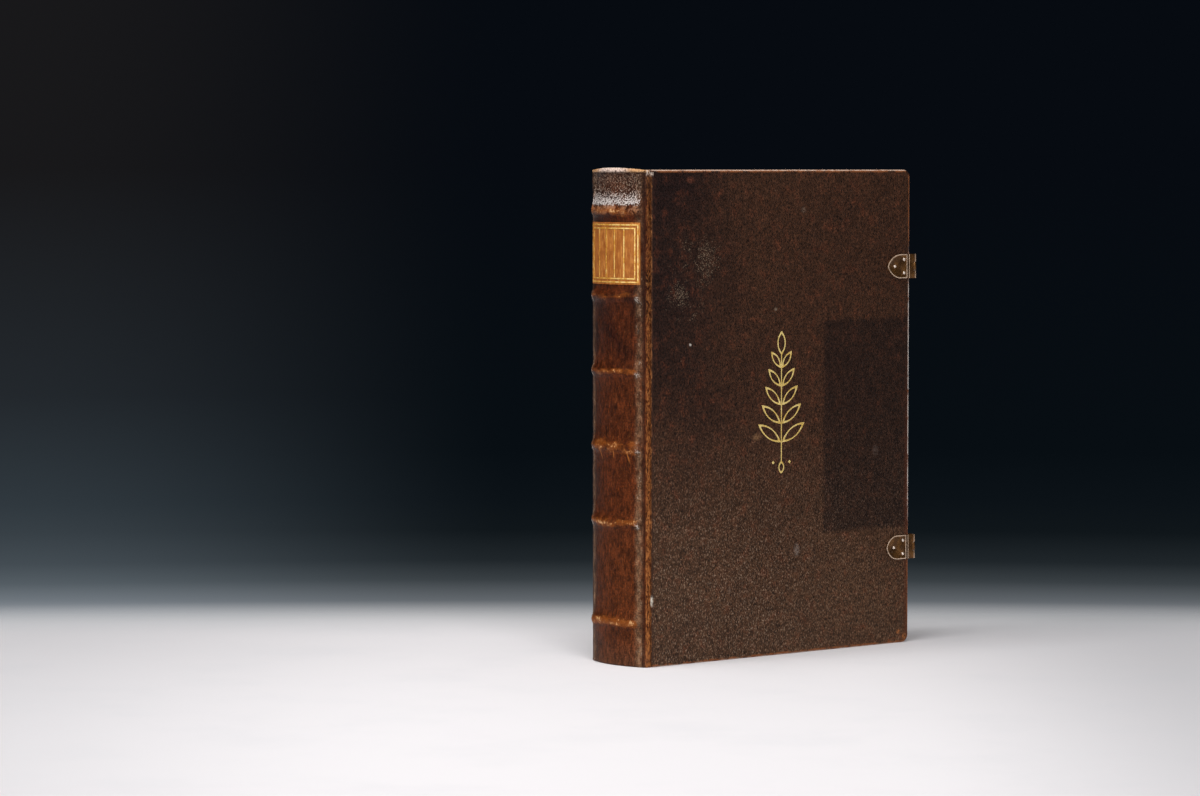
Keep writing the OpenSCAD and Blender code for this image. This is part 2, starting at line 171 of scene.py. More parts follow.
def cells(coords, density, feature):
    return nodeFor("ShaderNodeTexVoronoi", {"Vector": coords, "Scale": density}, feature=feature).outputs["Distance"]


def waves(coords, density, way, distortion, detail=2.0):
    wanted = {"Vector": coords, "Scale": density, "Distortion": distortion, "Detail": detail}
    return nodeFor("ShaderNodeTexWave", wanted, bands_direction=way).outputs["Fac"]


def vectorMath(operation, inputs, output=0):
    return nodeFor("ShaderNodeVectorMath", inputs, operation=operation).outputs[output]


def stretched(coords, scale, turn=(0, 0, 0)):
    return nodeFor("ShaderNodeMapping", {"Vector": coords, "Scale": scale, "Rotation": turn}).outputs[0]


def axesOf(vector):
    return nodeFor("ShaderNodeSeparateXYZ", {0: vector}).outputs


def attribute(coords, name):
    return addNode(coords.id_data, "ShaderNodeAttribute", attribute_name=name).outputs["Fac"]


def newGroup(name, inputs, outputs):
    tree = bpy.data.node_groups.new(name, "ShaderNodeTree")
    for way, labels in (("INPUT", inputs), ("OUTPUT", outputs)):
        for label in labels:
            kind = "NodeSocketVector" if label == "Vector" else "NodeSocketFloat"
            tree.interface.new_socket(label, in_out=way, socket_type=kind)
    return tree, tree.nodes.new("NodeGroupInput").outputs, tree.nodes.new("NodeGroupOutput")


def useGroup(group, inputs):
    return nodeFor("ShaderNodeGroup", inputs, node_tree=group).outputs


def newMaterial(name):
    material = bpy.data.materials.new(name)
    material.use_nodes = True
    tree = material.node_tree
    return material, tree.nodes["Principled BSDF"], addNode(tree, "ShaderNodeTexCoord").outputs["Object"]


def dressShader(shader, color, rough, normal, specular=0.5, metallic=0.0):
    fillInputs(shader, {
        "Base Color": color, "Roughness": rough, "Normal": normal,
        "Specular IOR Level": specular, "Metallic": metallic})


def bumped(height, distance, strength):
    return nodeFor("ShaderNodeBump", {"Height": height, "Distance": distance, "Strength": strength}).outputs[0]


def finishMesh(mesh, name, material):
    data = bpy.data.meshes.new(name)
    bmesh.ops.recalc_face_normals(mesh, faces=mesh.faces)
    for face in mesh.faces:
        face.smooth = True
    mesh.to_mesh(data)
    mesh.free()
    piece = bpy.data.objects.new(name, data)
    bpy.context.scene.collection.objects.link(piece)
    data.materials.append(material)
    return piece


def splitEdges(piece, angle):  # edges sharper than this stay sharp
    split = piece.modifiers.new("edges", "EDGE_SPLIT")
    split.split_angle = math.radians(angle)


def thicken(piece, thickness, offset):
    wall = piece.modifiers.new("thickness", "SOLIDIFY")
    wall.thickness = thickness
    wall.offset = offset


def dressNode(name, material, rounding=0.0):
    node = nodes[name]
    node.data.materials.clear()
    node.data.materials.append(material)
    for face in node.data.polygons:
        face.use_smooth = True
    weld = node.modifiers.new("weld", "WELD")
    weld.merge_threshold = 0.00001
    if rounding:
        edges = node.modifiers.new("rounding", "BEVEL")
        edges.width = rounding
        edges.segments = 2
        edges.limit_method = "ANGLE"
        edges.angle_limit = math.radians(40)
    splitEdges(node, 35)


def smooth(value, start, end):
    share = min(1.0, max(0.0, (value - start) / (end - start)))
    return share * share * (3 - 2 * share)


def bump(distance, width):
    return (1 - (distance / width) ** 2) ** 2 if abs(distance) < width else 0.0


# effects that several materials share, each as one node group
def makeGrainGroup():
    tree, given, result = newGroup("leatherGrain", ("Vector", "Size"), ("Height", "Pores", "Tone"))
    density = calc("DIVIDE", 1.0, given["Size"])
    warp = nodeFor("ShaderNodeTexNoise", {"Vector": given["Vector"], "Scale": times(density, 0.45), "Detail": 2.0})
    shift = vectorMath("SUBTRACT", {0: warp.outputs["Color"], 1: (0.5, 0.5, 0.5)})
    shift = vectorMath("SCALE", {0: shift, "Scale": times(given["Size"], 1.3)})
    place = vectorMath("ADD", {0: given["Vector"], 1: shift})
    pebble = cells(place, density, "DISTANCE_TO_EDGE")
    pebble = fade(pebble, 0.0, 0.34)
    fine = noiseAt(given["Vector"], times(density, 2.4), 3.0, 0.5)
    pits = cells(place, times(density, 0.8), "F1")
    pits = fade(pits, 0.30, 0.12)
    tone = noiseAt(place, times(density, 0.8), 2.0, 0.7)
    height = scaleAdd(fine, 0.5, pebble)
    height = minus(height, times(pits, 0.5))
    fillInputs(result, {"Height": height, "Pores": pits, "Tone": tone})
    return tree


def makeWearGroup():  # wear that starts at an edge and breaks up inwards
    tree, given, result = newGroup("edgeWear", ("Vector", "Distance", "Width"), ("Mask",))
    patchy = cloud(given["Vector"], 0.009, 4.0, 0.65)
    fine = cloud(given["Vector"], 0.0012, 3.0, 0.6)
    reach = calc("DIVIDE", given["Distance"], given["Width"])
    edge = minus(1.0, reach, clamp=True)
    broken = scaleAdd(patchy, 1.3, times(fine, 0.5))
    mask = times(edge, fade(broken, 0.62, 1.02))
    fillInputs(result, {"Mask": fade(mask, 0.08, 0.55)})
    return tree


def makeEdgesGroup():  # distances to the head, tail and fore-edge of a cover
    tree, given, result = newGroup(
        "coverEdges", ("Vector", "Fore Edge", "Head"), ("Nearest", "Head Distance", "Fore Distance"))
    xyz = axesOf(given["Vector"])
    fore = minus(given["Fore Edge"], xyz["X"])
    head = minus(given["Head"], xyz["Z"])
    nearest = smaller(smaller(head, xyz["Z"]), fore)
    fillInputs(result, {"Nearest": nearest, "Head Distance": head, "Fore Distance": fore})
    return tree


def makeSpotGroup():  # small spots, more of them where Cover is high
    tree, given, result = newGroup("spots", ("Vector", "Size", "Cover"), ("Mask",))
    density = calc("DIVIDE", 1.0, given["Size"])
    speck = noiseAt(given["Vector"], density, 2.0, 0.7)
    limit = minus(0.86, times(given["Cover"], 0.36))
    mask = calc("MULTIPLY", minus(speck, limit), 14.0, clamp=True)
    fillInputs(result, {"Mask": mask})
    return tree


grainGroup = makeGrainGroup()
wearGroup = makeWearGroup()
edgesGroup = makeEdgesGroup()
spotGroup = makeSpotGroup()
print("shared effects made")


def makeGrain(coords, size):
    return useGroup(grainGroup, {"Vector": coords, "Size": size})


def edgeWear(coords, distance, width):
    return useGroup(wearGroup, {"Vector": coords, "Distance": distance, "Width": width})["Mask"]


def spots(coords, size, cover):
    return useGroup(spotGroup, {"Vector": coords, "Size": size, "Cover": cover})["Mask"]


coverLook = {
    # low is the tone of the painted sheen over the lower half
    "dark": "#1e100d", "brown": "#3b2417", "low": "#4d3524", "red": "#552a18",
    "rub": "#7c4c2a", "pale": "#cdb29c", "dust": "#9c8874",
    "grain": 0.00076, "grainDepth": 0.00016, "roughness": (0.44, 0.62),
    # the darker patch: left edge from the joint, bottom and top
    "patch": (0.1575, 0.084, 0.234),
    # dusty places: across from the joint, height, reach, squeeze in height
    "dusty": ((0.0400, 0.277, 0.046, 1.25), (0.0300, 0.250, 0.036, 1.0)),
    # the painted highlight along the fore-edge: the heights where it starts, is full, wanes and ends
    "foreHighlight": (0.086, 0.100, 0.250, 0.300),
    # marks on the front: as the dusty places, then tone and strength
    "marks": (
        (0.0948, 0.1541, 0.0058, 1.6, "#7e5c3e", 1.0), (0.1320, 0.0730, 0.0036, 0.6, "#8b8078", 0.6),
        (0.0340, 0.3330, 0.0050, 1.5, "#6b3b2a", 0.8), (0.0340, 0.2200, 0.0014, 1.0, "#d8d0c4", 1.0),
        (0.2070, 0.1400, 0.0042, 0.8, "#5c4c44", 0.6), (0.1380, 0.3120, 0.0030, 1.0, "#6f5c4e", 0.7),
        (0.1120, 0.2430, 0.0020, 1.0, "#a08c78", 0.6), (0.0700, 0.0480, 0.0026, 1.0, "#7c6656", 0.6),
        (0.2300, 0.0080, 0.0026, 1.0, "#b06a3a", 1.0), (0.2360, 0.0042, 0.0030, 0.8, "#b87440", 1.0),
        (0.2210, 0.0018, 0.0022, 1.0, "#8a4c28", 0.9),
    ),
}


def spotAt(xyz, x, z, reach, squeeze=1.0):  # a soft round place on a cover
    dx = minus(xyz["X"], jointX + x)
    dz = times(minus(xyz["Z"], z), squeeze)
    length = calc("SQRT", calc("ADD", times(dx, dx), times(dz, dz)))
    return fade(length, reach, reach * 0.2)


def makeCoverLeather(name, front):
    look = coverLook
    material, shader, coords = newMaterial(name)
    xyz = axesOf(coords)
    upright = stretched(coords, (1.0, 1.0, 0.58))  # the grain runs a little up and down
    grain = makeGrain(upright, look["grain"])
    edges = useGroup(edgesGroup, {"Vector": coords, "Fore Edge": foreX, "Head": bookHeight})
    broad = cloud(coords, 0.070, 3.0, 0.5)
    blotch = cloud(coords, 0.008, 5.0, 0.62)
    # darkest high up beside the joint, browner towards the fore-edge; lighter and greyer low down, a painted sheen
    lit = larger(fade(xyz["X"], jointX + 0.005, jointX + 0.105), fade(xyz["Z"], 0.235, 0.120))
    lit = scaleAdd(minus(broad, 0.5), 1.1, lit, clamp=True)
    color = mixColor(lit, paint(look["dark"]), paint(look["brown"]))
    # where the painted sheen lies: the lower half
    lowSheen = times(fade(xyz["Z"], 0.190, 0.030), remap(broad, 0.35, 0.65, 0.75, 1.0))
    color = coat(color, lowSheen, look["low"])
    color = coat(color, times(fade(blotch, 0.50, 0.72), 0.40), look["red"])
    if front:
        left, bottom, top = look["patch"]
        waver = scaleAdd(blotch, 0.0030, -0.0015)
        x, z = calc("ADD", xyz["X"], waver), calc("ADD", xyz["Z"], waver)
        inside = fade(x, jointX + left - 0.0022, jointX + left + 0.0022)
        inside = times(inside, within(z, bottom - 0.0026, bottom + 0.0026, top - 0.0022, top + 0.0022))
        color = coat(color, times(inside, remap(blotch, 0.3, 0.7, 0.78, 0.56)), "#1d110d")
    # every hair pore darkens the leather and the swells between them shine through
    color = toned(color, grain["Tone"], 0.30, 0.70, 0.04, 2.16)
    color = toned(color, cloud(upright, 0.0024, 4.0, 0.65), 0.30, 0.70, 0.64, 1.38)
    color = toned(color, blotch, 0.34, 0.66, 0.88, 1.14)
    color = coat(color, times(grain["Pores"], 0.45), "#120a08")
    # painted glints on the swells of the grain over the lower half, fewer towards the fore-edge
    grainGlints = remap(xyz["X"], jointX + 0.09, jointX + 0.19, 0.72, 0.26)
    grainGlints = times(fade(grain["Tone"], 0.57, 0.68), lowSheen, grainGlints)
    color = coat(color, grainGlints, "#a4917e")
    lines = cloud(stretched(coords, (0.05, 1, 1), (0, 0.5, 0)), 0.0011, 2.0, 0.5)
    color = coat(color, times(fade(lines, 0.72, 0.78), 0.25), look["rub"])
    speckle = spots(coords, 0.0014, remap(broad, 0.3, 0.7, 0.20, 0.42))
    color = coat(color, times(speckle, 0.40), look["dust"])
    if front:
        near = larger(*[spotAt(xyz, *place) for place in look["dusty"]])
        near = times(near, fade(cloud(coords, 0.012, 4.0, 0.65), 0.22, 0.58))
        powder = spots(coords, 0.00095, times(near, 0.93))
        color = coat(color, times(powder, fade(near, 0.0, 0.35), 0.62), "#8e7a64")
        for *place, tone, strength in look["marks"]:
            ragged = fade(cloud(coords, 0.0016, 4.0, 0.7), 0.36, 0.58)
            color = coat(color, times(spotAt(xyz, *place), ragged, strength), tone)
    # the fore-edge and tail are rubbed orange; the head edge is rubbed pale and carries a painted highlight, nearly
    # white
    foreTint = times(fade(edges["Fore Distance"], 0.0065, 0.0010), fade(xyz["Z"], 0.24, 0.10), 0.6)
    color = coat(color, foreTint, "#5c2c19")
    # the faces of the edges keep their brown between the rubbed corners
    outer, inner = (frontLow.y, middleY - coverInner) if front else (backHigh.y, middleY + coverInner)
    fromOuter, fromInner = apart(xyz["Y"], outer), apart(xyz["Y"], inner)
    corner = larger(fade(fromOuter, 0.0030, 0.0012), times(fade(fromInner, 0.0018, 0.0005), 0.7))
    corner = remap(corner, 0.0, 1.0, 0.16, 1.0)
    worn = edgeWear(coords, edges["Nearest"], 0.0026)
    color = coat(color, times(worn, corner, 0.8), "#93552c")
    pale = edgeWear(stretched(coords, (1.7, 1.7, 1.7)), edges["Nearest"], 0.0011)
    color = coat(color, times(pale, corner, 0.62), look["pale"])
    # the head edge: rubbed pale leather with a painted highlight from above
    headRubAndHighlight = times(fade(edges["Head Distance"], 0.0011, 0.0003), fade(cloud(coords, 0.005, 5.0, 0.75), 0.38, 0.56))
    color = coat(color, times(headRubAndHighlight, remap(fromOuter, 0.0008, 0.0036, 0.56, 0.12)), "#d9bcaa")
    # a broken painted highlight on the rounded fore-edge
    foreHighlight = times(fade(edges["Fore Distance"], 0.0019, 0.0013), within(xyz["Z"], *look["foreHighlight"]))
    broken = fade(cloud(stretched(coords, (1, 1, 0.3)), 0.0022, 4.0, 0.7), 0.40, 0.54)
    foreHighlight = times(foreHighlight, fade(fromOuter, 0.0016, 0.0006), broken)
    color = coat(color, times(foreHighlight, 0.95), "#d6cec6")
    rough = remap(blotch, 0.3, 0.7, *look["roughness"])
    height = scaleAdd(cloud(coords, 0.012, 3.0, 0.5), 1.2, grain["Height"])
    normal = bumped(height, look["grainDepth"], 0.8)
    dressShader(shader, color, rough, normal, 0.14)
    return material


spineMasks = ("wear", "ridge", "valley", "cap", "side", "cross", "back", "bandEndGlint")  # where each kind of wear, painted sheen, glint and shade shows
spineLook = {
    "dark": "#30130a", "brown": "#4d220e", "warm": "#582b12",
    "ridge": "#ac6c3a", "orange": "#88491a", "tan": "#e2ae78",
    "grain": 0.00085, "grainDepth": 0.00014, "roughness": (0.30, 0.48),
    # heights where a tone starts, is full, wanes and ends: painted highlight on the slope, pinkish band, painted
    # shade under the cap
    "slope": (0.3136, 0.3174, 0.3160, 0.3325), "pinkish": (0.3085, 0.3118, 0.3142, 0.3172),
    "underCap": (0.3364, 0.3378, 0.3384, 0.3390),
    "headPanel": (0.3180, 0.3230),
    # scratches that hang from the third band: across, top, length, lean
    "scratches": ((0.0130, 0.1500, 0.0100, 0.35), (-0.0150, 0.1495, 0.0110, 0.25), (-0.0040, 0.1480, 0.0060, -0.20)),
}


def makeSpineLeather():
    look = spineLook
    material, shader, coords = newMaterial("spineLeather")
    xyz = axesOf(coords)
    grain = makeGrain(coords, look["grain"])
    worn, ridge, valley, cap, side, cross, back, bandEndGlint = [attribute(coords, name) for name in spineMasks]
    broad = cloud(coords, 0.030, 3.0, 0.5)
    streak = cloud(stretched(coords, (1, 1, 0.32)), 0.0020, 4.0, 0.7)
    patchy = cloud(coords, 0.006, 4.0, 0.62)
    fine = cloud(coords, 0.0013, 3.0, 0.6)
    color = mixColor(fade(broad, 0.36, 0.64), paint(look["dark"]), paint(look["brown"]))
    color = coat(color, times(fade(xyz["Z"], 0.225, 0.195), 0.80), "#4e230d")
    color = coat(color, times(fade(xyz["Z"], 0.130, 0.060), 0.60), look["warm"])
    # painted shade: the spine's half toward the back cover is darker and redder
    color = coat(color, times(fade(cross, -0.20, -0.95), 0.62), "#2a120c")
    color = coat(color, times(fade(patchy, 0.5, 0.72), 0.40), look["warm"])
    ends = larger(fade(xyz["Z"], 0.024, 0.0), fade(xyz["Z"], bookHeight - 0.028, bookHeight - 0.004))
    color = coat(color, times(ends, 0.30), "#5c4535")
    # beside the shoulders: a painted sheen over panels partly rubbed dull, and painted white glints
    sheenAndRub = times(side, fade(scaleAdd(fine, 0.4, patchy), 0.45, 0.80))
    color = coat(color, times(sheenAndRub, remap(xyz["Z"], 0.25, 0.08, 0.38, 0.62)), "#866a50")
    glinting = times(side, fade(fine, 0.58, 0.66), fade(patchy, 0.48, 0.60))
    color = coat(color, times(glinting, 0.55), "#baa89a")
    color = toned(color, streak, 0.36, 0.64, 0.48, 1.52)
    mottled = cloud(stretched(coords, (1, 1, 0.7)), 0.0065, 5.0, 0.7)
    color = toned(color, mottled, 0.36, 0.64, 0.58, 1.36)
    color = toned(color, grain["Tone"], 0.30, 0.70, 0.50, 1.58)
    fibres = cloud(stretched(coords, (1, 1, 0.30)), 0.0009, 3.0, 0.7)
    color = coat(color, times(fade(fibres, 0.58, 0.70), 0.38), "#86512a")
    color = coat(color, times(grain["Pores"], 0.40), "#1a0c08")
    # painted shade in the gutter beside each shoulder
    color = coat(color, times(valley, 0.55), "#2c1710")
    color = toned(color, xyz["Z"], 0.205, 0.235, 1.0, 0.85)
    # painted highlight: the slope over the top band catches the light grey-white, every swell of the grain on its
    # own
    waver = scaleAdd(minus(patchy, 0.5), 0.006, xyz["Z"])
    slope = times(within(waver, *look["slope"]), back)
    glint = scaleAdd(cloud(coords, 0.0010, 2.0, 0.75), 0.85, times(grain["Tone"], 0.35))
    slopeHighlight = fade(scaleAdd(slope, 0.205, glint), 0.735, 0.830)
    color = coat(color, times(slopeHighlight, fade(slope, 0.0, 0.45), 0.92), "#d6ccc6")
    # painted highlights on the swells of the head panel's grain, the leather between them darker
    headPanel = fade(xyz["Z"], *look["headPanel"])
    color = coat(color, times(headPanel, fade(glint, 0.62, 0.74), back, 0.58), "#b49a86")
    color = coat(color, times(headPanel, fade(glint, 0.61, 0.50), 0.92), "#24110b")
    pinkish = times(within(xyz["Z"], *look["pinkish"]), back, fade(scaleAdd(fine, 0.4, patchy), 0.58, 0.76))
    color = coat(color, times(pinkish, 0.62), "#b9815c")
    # painted shade under the cap
    color = coat(color, times(within(xyz["Z"], *look["underCap"]), 0.5), "#24120c")
    # the ridge of each shoulder is rubbed through in upright streaks
    rubbed = fade(scaleAdd(fibres, 0.9, times(streak, 0.4)), 0.56, 0.78)
    color = coat(color, times(ridge, rubbed, remap(xyz["Z"], 0.335, 0.10, 0.34, 1.0)), look["ridge"])
    chips = times(ridge, fade(patchy, 0.62, 0.70))
    color = coat(color, times(chips, 0.5), "#c08a58")
    # the bands are rubbed: orange all along, tan flecks on top
    along = cloud(stretched(coords, (1, 0.55, 1.2)), 0.0046, 4.0, 0.62)
    flecks = scaleAdd(fine, 0.35, along)
    orange = times(fade(scaleAdd(worn, 0.55, flecks), 0.86, 1.22), fade(worn, 0.02, 0.30))
    color = coat(color, times(orange, 0.95), look["orange"])
    threads = scaleAdd(cloud(stretched(coords, (1, 1.0, 0.45)), 0.0014, 3.0, 0.7), 0.6, times(along, 0.75))
    bright = times(fade(scaleAdd(worn, 0.22, threads), 0.90, 1.02), fade(worn, 0.20, 0.60))
    color = coat(color, times(bright, 0.9), look["tan"])
    for across, top, length, lean in look["scratches"]:
        line = scaleAdd(minus(top, xyz["Z"]), lean, minus(xyz["Y"], middleY + across))
        line = fade(calc("ABSOLUTE", line), 0.00085, 0.00025)
        span = within(xyz["Z"], top - length, top - length * 0.55, top - 0.001, top + 0.001)
        line = times(line, span, fade(fibres, 0.36, 0.52))
        color = coat(color, times(line, 0.75), "#a8642c")
    # the cap is rubbed tan and carries a painted highlight along its top, palest in the middle
    capRubAndHighlight = times(cap, fade(fine, 0.30, 0.54))
    capTone = mixColor(fade(calc("ABSOLUTE", cross), 0.75, 0.30), paint("#d2a070"), paint("#ead0c0"))
    color = mixColor(times(capRubAndHighlight, 0.92), color, capTone)
    # painted white glints just under the shoulder ends of the middle bands
    color = coat(color, times(bandEndGlint, fade(fine, 0.44, 0.58), 0.8), "#ddd2c8")
    notch = times(ridge, fade(xyz["Z"], bookHeight - 0.0050, bookHeight - 0.0028), fade(fibres, 0.44, 0.58))
    color = coat(color, times(notch, 0.85), "#d8c6b8")
    rough = remap(patchy, 0.3, 0.7, *look["roughness"])
    height = scaleAdd(patchy, 1.4, grain["Height"])
    normal = bumped(height, look["grainDepth"], 0.8)
    dressShader(shader, color, rough, normal, 0.06)
    return material


def makeJointLeather():  # from the rubbed shoulder on the left to the cover's own brown
    material, shader, coords = newMaterial("jointLeather")
    xyz = axesOf(coords)
    grain = makeGrain(coords, 0.0008)
    streak = cloud(stretched(coords, (1, 1, 0.30)), 0.0011, 4.0, 0.7)
    patchy = cloud(coords, 0.008, 4.0, 0.62)
    toCover = attribute(coords, "toCover")
    color = mixColor(fade(toCover, 0.2, 0.9), paint("#43240f"), paint("#33201a"))
    rubbed = times(fade(scaleAdd(patchy, 0.5, streak), 0.72, 0.92), fade(toCover, 0.95, 0.35))
    color = coat(color, times(rubbed, 0.78), "#a0673a")
    color = toned(color, grain["Tone"], 0.3, 0.7, 0.6, 1.4)
    chip = spotAt(xyz, 0.0002, 0.0455, 0.0034, 0.7)
    color = coat(color, times(chip, fade(streak, 0.36, 0.50)), "#e6dccb")
    notch = times(fade(xyz["Z"], bookHeight - 0.0052, bookHeight - 0.0028), fade(streak, 0.42, 0.56))
    color = coat(color, times(notch, 0.85), "#d8c6b8")
    dressShader(shader, color, remap(patchy, 0.3, 0.7, 0.42, 0.6), bumped(grain["Height"], 0.0001, 0.7), 0.16)
    return material


def makeLabelLeather():
    material, shader, coords = newMaterial("labelLeather")
    grain = makeGrain(coords, 0.0007)
    patchy = cloud(coords, 0.005, 4.0, 0.6)
    streak = cloud(stretched(coords, (1, 1, 0.2)), 0.0018, 4.0, 0.6)
    color = mixColor(fade(patchy, 0.36, 0.66), paint("#995620"), paint("#af6a2c"))
    color = coat(color, times(fade(streak, 0.50, 0.66), 0.50), "#d8964c")
    color = coat(color, times(fade(streak, 0.46, 0.34), 0.45), "#8a4e22")
    color = coat(color, times(grain["Pores"], 0.3), "#7d4623")
    dressShader(shader, color, remap(patchy, 0.3, 0.7, 0.36, 0.52), bumped(grain["Height"], 0.00006, 0.6), 0.14)
    return material


def makeGold(name, tones, metal, patchSize, lostShare, fainter):
    # fainter: how much more of the gold has gone towards the back cover
    material, shader, coords = newMaterial(name)
    xyz = axesOf(coords)
    patchy = cloud(coords, patchSize, 4.0, 0.65)
    patchy = minus(patchy, times(fade(xyz["Y"], middleY - 0.018, middleY + 0.012), fainter))
    fine = cloud(coords, 0.0005, 3.0, 0.6)
    color = mixColor(fade(patchy, 0.35, 0.62), paint(tones[0]), paint(tones[1]))
    lost = times(fade(scaleAdd(fine, 0.4, patchy), lostShare + 0.08, lostShare), 0.8)
    color = coat(color, lost, tones[2])
    dressShader(shader, color, scaleAdd(fine, 0.25, 0.28), bumped(fine, 0.00004, 0.6), metallic=metal)
    return material


brassLook = {
    # bright: the tone of rubbed brass and of painted highlights
    "face": ("#5a3c20", "#80572c"), "dark": "#2c2016", "green": "#4c3e26", "bright": "#e0c3a8",
    "roughness": (0.30, 0.44), "rounding": 0.00012, "ribIn": 0.0016,
}


def makeBrass(name, planes):
    # planes: the outer faces of the plates, so that rims and ribs standing over them are rubbed bright and carry a
    # painted highlight
    look = brassLook
    material, shader, coords = newMaterial(name)
    xyz = axesOf(coords)
    patchy = cloud(coords, 0.0060, 3.0, 0.55)
    fine = cloud(coords, 0.0007, 3.0, 0.6)
    color = mixColor(fade(patchy, 0.36, 0.64), paint(look["face"][0]), paint(look["face"][1]))
    color = coat(color, times(fade(cloud(coords, 0.004, 3.0), 0.56, 0.72), 0.35), look["green"])
    color = coat(color, times(fade(fine, 0.60, 0.74), 0.4), look["dark"])
    rubbed = times(fade(cloud(coords, 0.0018, 4.0, 0.7), 0.62, 0.74), 0.5)
    if planes:
        over = fade(minus(planes[0], xyz["Y"]), 0.00008, 0.00024)
        behind = fade(minus(xyz["Y"], planes[1]), 0.00008, 0.00024)
        raised = times(larger(over, behind), fade(fine, 0.26, 0.46))
        # by the hinge only the crests of the two ribs are rubbed bright with a painted highlight, and dirt stays
        # between them
        crest = apart(xyz["X"], foreX - look["ribIn"])
        crest = larger(fade(crest, 0.00034, 0.00014), fade(xyz["X"], foreX - 0.0034, foreX - 0.0038))
        raised = times(raised, larger(crest, fade(xyz["X"], foreX + 0.0004, foreX + 0.0012)))
        groove = within(xyz["X"], foreX - 0.0035, foreX - 0.0032, foreX - 0.0021, foreX - 0.0018)
        color = coat(color, times(groove, 0.7), look["dark"])
        rubbed = larger(rubbed, raised)
    # painted highlight along the outermost edge of the knuckles
    knuckleHighlight = times(fade(xyz["X"], cadHigh.x - 0.0011, cadHigh.x - 0.0004), fade(fine, 0.24, 0.40))
    rubbed = larger(rubbed, knuckleHighlight)
    # the rubbed places and the painted highlights take the bright tone
    color = coat(color, rubbed, look["bright"])
    rough = scaleAdd(rubbed, -0.10, remap(fine, 0.3, 0.7, *look["roughness"]))
    normal = bumped(scaleAdd(fine, 0.4, patchy), 0.00006, 0.6)
    dressShader(shader, color, rough, normal, metallic=scaleAdd(rubbed, -0.40, 0.7))
    return material


def makeRivetMetal():
    material, shader, coords = newMaterial("rivetBrass")
    fine = cloud(coords, 0.0006, 3.0, 0.6)
    color = mixColor(fade(fine, 0.32, 0.6), paint("#c8ae94"), paint("#fbeee2"))
    dressShader(shader, color, scaleAdd(fine, 0.25, 0.16), bumped(fine, 0.00005, 0.5), metallic=0.6)
    return material


def paperColor(coords):  # aged laid paper: fibres, laid lines, foxing, browned towards the edges
    xyz = axesOf(coords)
    fibre = cloud(coords, 0.0012, 4.0, 0.7)
    laid = waves(coords, 420.0, "Z", 0.6, 1.0)
    fox = cloud(coords, 0.010, 5.0, 0.7)
    tide = cloud(coords, 0.060, 3.0, 0.6)
    color = mixColor(fade(fibre, 0.35, 0.65), paint("#cdb98f"), paint("#decba4"))
    color = coat(color, times(fade(fox, 0.62, 0.74), 0.45), "#a9824e")
    color = coat(color, times(laid, 0.06), "#a8946c")
    nearest = smaller(minus(bookHeight, xyz["Z"]), smaller(xyz["Z"], minus(foreX, xyz["X"])))
    rim = fade(scaleAdd(tide, -0.03, nearest), 0.020, -0.006)
    color = coat(color, times(rim, 0.65), "#9a7a4e")
    return color, scaleAdd(laid, 0.3, fibre)


def makePageEdges():
    # leaves show as fine lines along the attribute "leaf"; the outermost leaves are plain paper
    material, shader, coords = newMaterial("pageEdges")
    xyz = axesOf(coords)
    leaf, outer = attribute(coords, "leaf"), attribute(coords, "outer")
    bend = scaleAdd(cloud(coords, 0.045, 2.0, 0.5), 0.0010, leaf)
    across = {0: times(xyz["X"], 0.003), 1: bend, 2: times(xyz["Z"], 0.003)}
    across = nodeFor("ShaderNodeCombineXYZ", across).outputs[0]
    leaves = cloud(across, 0.00026, 3.0, 0.75)
    sections = cloud(across, 0.0017, 3.0, 0.6)
    stain = cloud(coords, 0.030, 4.0, 0.6)
    color = mixColor(fade(leaves, 0.38, 0.62), paint("#978160"), paint("#dac8a6"))
    color = coat(color, times(fade(sections, 0.48, 0.34), 0.50), "#846e4c")
    color = coat(color, times(fade(stain, 0.52, 0.7), 0.40), "#a98a5a")
    dusty = fade(xyz["Z"], bookHeight - 0.0060, bookHeight - 0.0045)
    color = coat(color, times(dusty, 0.35), "#7d6c54")
    sheet, tooth = paperColor(coords)
    color = mixColor(fade(outer, 0.55, 0.95), color, sheet)
    relief = times(calc("ADD", leaves, sections), fade(outer, 0.95, 0.55))
    dressShader(shader, color, scaleAdd(leaves, 0.1, 0.78), bumped(scaleAdd(tooth, 0.15, relief), 0.0003, 0.9), 0.2)
    return material


def makeEndpaper():
    material, shader, coords = newMaterial("endpaper")
    color, tooth = paperColor(coords)
    dressShader(shader, color, scaleAdd(tooth, 0.1, 0.74), bumped(tooth, 0.00005, 0.6), 0.2)
    return material


def makeCloth(name, tones, size):
    material, shader, coords = newMaterial(name)
    patchy = cloud(coords, 0.003, 4.0, 0.6)
    thread = larger(waves(coords, 1 / size, "Z", 1.5), waves(coords, 1 / size, "Y", 1.5))
    color = mixColor(scaleAdd(patchy, 0.4, times(thread, 0.6)), paint(tones[0]), paint(tones[1]))
    dressShader(shader, color, scaleAdd(patchy, 0.1, 0.85), bumped(thread, 0.0001, 0.7))
    return material


def makeWindings():  # silk wound round the endbands: turns run round the centre of the spine
    material, shader, coords = newMaterial("endbandSilk")
    xyz = axesOf(coords)
    angle = calc("ARCTAN2", minus(xyz["Y"], middleY), minus(spineX, xyz["X"]))
    turns = calc("SINE", times(angle, 390.0))
    blocks = calc("SINE", times(angle, 62.0))
    color = mixColor(fade(blocks, -0.15, 0.15), paint("#7a3025"), paint("#c2a878"))
    color = coat(color, fade(turns, 0.0, -0.9), "#2e1a12")
    color = coat(color, times(cloud(coords, 0.002, 3.0), 0.4), "#6b5a44")
    dressShader(shader, color, scaleAdd(turns, 0.05, 0.6), bumped(turns, 0.0002, 0.8))
    return material


